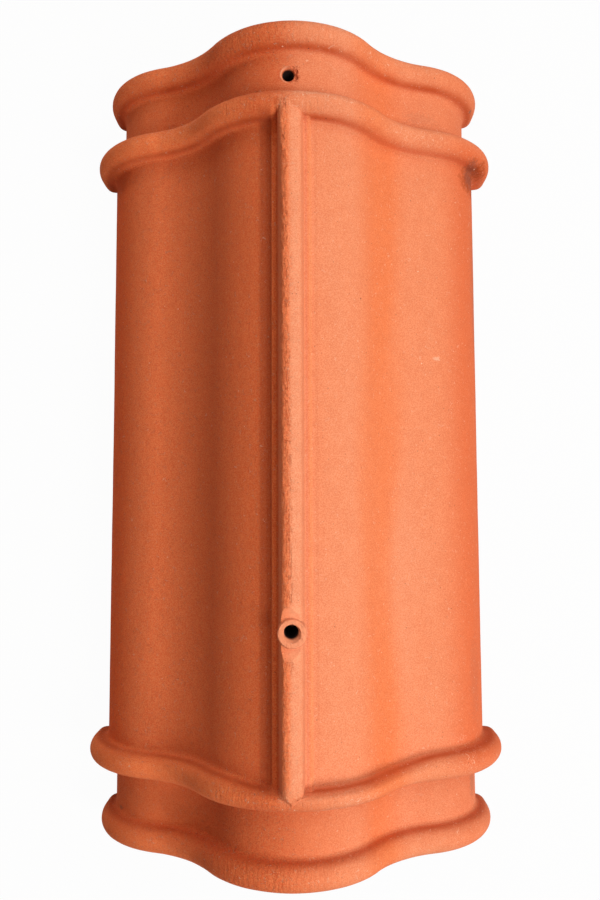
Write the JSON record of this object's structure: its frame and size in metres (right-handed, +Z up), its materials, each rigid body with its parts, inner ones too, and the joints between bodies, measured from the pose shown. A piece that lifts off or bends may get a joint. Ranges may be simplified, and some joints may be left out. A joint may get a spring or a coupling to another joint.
{
  "type": "clay roof ridge tile",
  "caption": "Ornamental clay ridge tile: hump-backed saddle with round beads round both ends, a pitched rib along the crown and screw and nail holes.",
  "frame": {"origin": "middle of the footprint, on the floor under the tile's two feet", "axes": "+Y along the tile towards its upper end, the one with the nail hole; +Z up through the crown; +X across the tile, to the right of someone who looks along +Y"},
  "size_m": [0.2424, 0.44, 0.1127],
  "materials": {
    "clay": "matt unglazed fired clay, orange"
  },
  "bodies": {
    "root": {"ridge_tile": "clay"}
  },
  "joints": []
}
